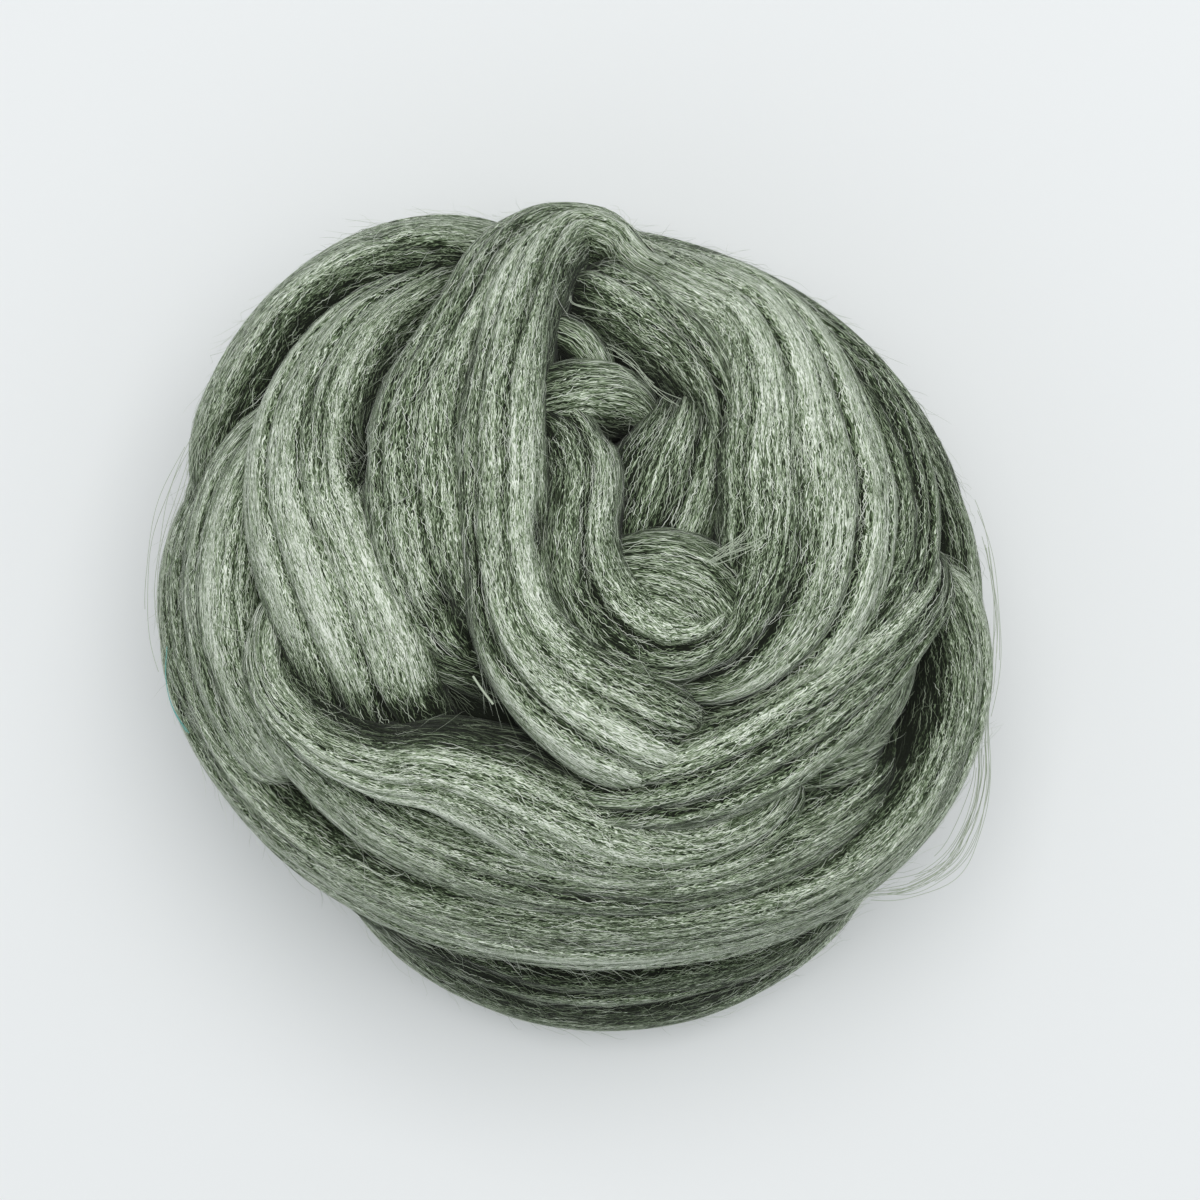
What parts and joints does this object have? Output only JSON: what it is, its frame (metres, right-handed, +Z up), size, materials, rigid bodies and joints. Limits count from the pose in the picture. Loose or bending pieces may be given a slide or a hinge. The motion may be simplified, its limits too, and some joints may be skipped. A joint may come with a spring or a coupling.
{
  "type": "wool roving ball",
  "caption": "Soft ball of combed wool roving in heathered sage green, wound in overlapping swaths that fold around a small curl on top, with a slumped loop low at the front",
  "frame": {"origin": "on the table plane, under the middle of the ball's box", "axes": "+Z up out of the folded top of the ball, +X to the right and +Y away from the slumped loop, which lies low on the -Y side"},
  "size_m": [0.1482, 0.1522, 0.1007],
  "materials": {
    "wool": "matt, hazy combed wool fibre, sage green flecked with pale grey"
  },
  "bodies": {
    "root": {"roving_ball": "wool"}
  },
  "joints": []
}
